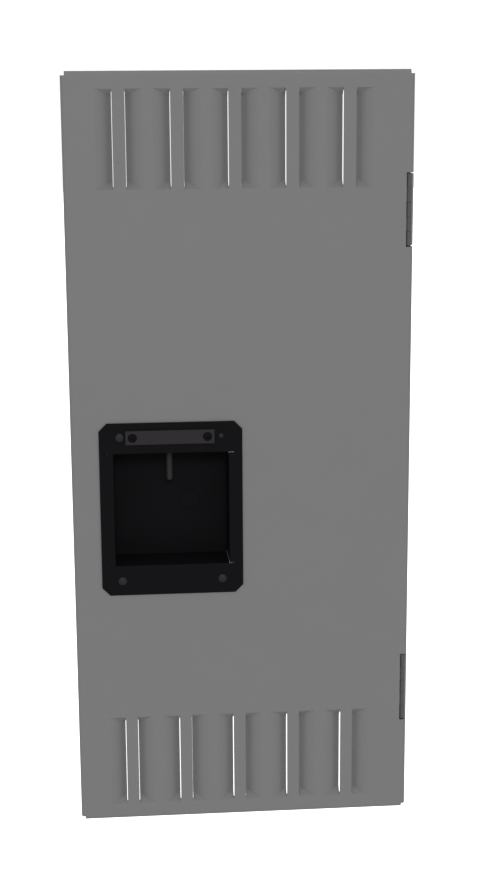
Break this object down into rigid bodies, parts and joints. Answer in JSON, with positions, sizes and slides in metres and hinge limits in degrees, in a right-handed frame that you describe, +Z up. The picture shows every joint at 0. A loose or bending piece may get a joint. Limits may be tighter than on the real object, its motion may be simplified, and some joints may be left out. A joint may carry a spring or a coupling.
{
  "type": "battery box",
  "caption": "Tall wall-hung ventilated sheet-steel battery cabinet with a hinged louvred door, recessed finger latch, shelves, batteries, isolator and cable glands.",
  "frame": {"origin": "centre of the cabinet's underside, at mid width and mid overall depth", "axes": "+Z up, +X to the right seen from the front, +Y from the door to the wall"},
  "size_m": [0.357, 0.256, 0.8],
  "materials": {
    "grey_paint": "satin mid-grey powder coat",
    "zinc_steel": "zinc plated",
    "black_zinc": "black zinc plated",
    "black_paint": "matt black powder coat",
    "dark_steel": "blackened steel",
    "lever_steel": "blackened steel, worn lighter",
    "black_screw": "black oxide",
    "grey_rivet": "dark grey",
    "black_rubber": "matt",
    "red_cable": "satin sheath",
    "white_foam": "matt foam",
    "battery_plastic": "fine grained",
    "battery_lid": "fine grained",
    "plate_pack": null,
    "lead": "dull lead",
    "tinned_copper": "tinned",
    "webbing": "woven polyester",
    "switch_plastic": "moulded",
    "red_plastic": "moulded",
    "gland_plastic": "moulded nylon"
  },
  "bodies": {
    "cabinet": {"body_wrap": "grey_paint", "top_panel": "grey_paint", "floor_panel": "grey_paint", "panel_screws": "zinc_steel", "shelf_screws": "zinc_steel", "door_gasket": "black_rubber", "earth_stud": "zinc_steel", "hinge_body_leaves": "black_zinc", "hinge_pins": "black_zinc", "hinge_leaf_screws": "zinc_steel", "striker": "zinc_steel", "striker_screws": "zinc_steel", "lower_shelf": "grey_paint", "upper_shelf": "grey_paint", "lower_battery_case": "battery_plastic", "lower_battery_lid": "battery_lid", "lower_plate_packs": "plate_pack", "upper_battery_case": "battery_plastic", "upper_battery_lid": "battery_lid", "upper_plate_packs": "plate_pack", "battery_posts": "lead", "cable_lugs": "tinned_copper", "terminal_nuts": "zinc_steel", "lower_strap": "webbing", "upper_strap": "webbing", "strap_buckles": "dark_steel", "series_cable": "black_rubber", "negative_cable": "black_rubber", "positive_cable": "red_cable", "output_cable": "red_cable", "isolator_body": "switch_plastic", "isolator_screws": "zinc_steel", "gland_bracket": "grey_paint", "gland_screws": "zinc_steel", "cable_glands": "gland_plastic", "gland_seals": "black_rubber", "gland_nuts": "gland_plastic"},
    "door": {"door_panel": "grey_paint", "door_stiffener": "grey_paint", "hinge_door_leaves": "black_zinc", "hinge_studs": "zinc_steel", "hinge_nuts": "zinc_steel", "latch_pocket": "black_paint", "pocket_gasket": "white_foam", "pocket_sealant": "white_foam", "pocket_rivets": "grey_rivet", "latch_strip": "dark_steel", "strip_screws": "black_screw", "strip_nuts": "zinc_steel", "bearing_brackets": "zinc_steel", "latch_spring": "dark_steel"},
    "latch": {"latch_shaft": "zinc_steel", "latch_lever": "lever_steel", "latch_hook": "zinc_steel", "latch_collars": "zinc_steel"},
    "isolator_knob": {"isolator_knob": "red_plastic"}
  },
  "joints": [
    {"name": "door_hinge", "type": "hinge", "parent": "cabinet", "child": "door", "pos_m": [0.17385, -0.1183, 0.4], "axis": [0, 0, 1], "range_deg": [0, 120]},
    {"name": "latch_turn", "type": "hinge", "parent": "door", "child": "latch", "pos_m": [-0.0755, -0.1, 0.4269], "axis": [1, 0, 0], "range_deg": [-12, 18], "stiffness_Nm_per_rad": 0.05},
    {"name": "isolator_turn", "type": "hinge", "parent": "cabinet", "child": "isolator_knob", "pos_m": [0.0695, 0.078, 0.085], "axis": [0, 1, 0], "range_deg": [0, 90]}
  ]
}
